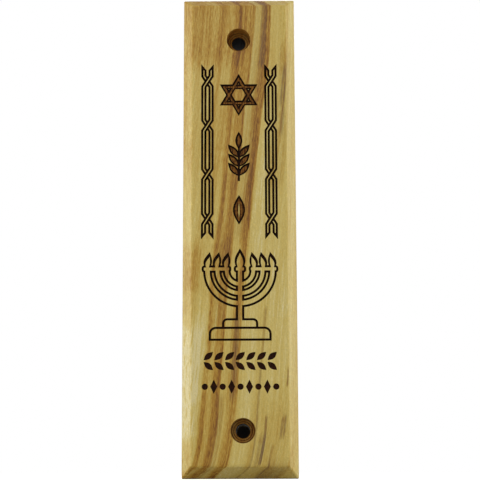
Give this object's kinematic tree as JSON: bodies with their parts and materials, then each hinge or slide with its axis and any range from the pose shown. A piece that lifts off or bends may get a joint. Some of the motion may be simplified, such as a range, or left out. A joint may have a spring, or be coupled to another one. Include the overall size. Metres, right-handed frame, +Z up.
{
  "type": "mezuzah case",
  "caption": "Flat olive-wood mezuzah case with a bevelled engraved front, two counterbored screw holes and a sliding dovetail back cover over a rolled scroll.",
  "frame": {"origin": "middle of the back plane, which lies against the doorpost, halfway up the case", "axes": "+Z up the case, -Y out of the engraved front, +Y into the doorpost, +X to the right of someone looking at the front"},
  "size_m": [0.028, 0.015, 0.12],
  "materials": {
    "olive_wood": "honey-coloured olive wood with brown figure, sanded and satin sealed, engraving burnt dark brown",
    "cover_wood": "olive wood strip, sanded, unsealed inside",
    "clear_film": "clear thin polypropylene film",
    "parchment": "cream matt parchment"
  },
  "bodies": {
    "case": {"case_body": "olive_wood"},
    "cover": {"back_cover": "cover_wood"},
    "scroll": {"scroll_sleeve": "clear_film", "parchment_scroll": "parchment"}
  },
  "joints": [
    {"name": "cover_slide", "type": "slide", "parent": "case", "child": "cover", "axis": [0, 0, 1], "range_m": [0, 0.105]},
    {"name": "scroll_slide", "type": "slide", "parent": "case", "child": "scroll", "axis": [0, 0, 1], "range_m": [0, 0.0056]}
  ]
}
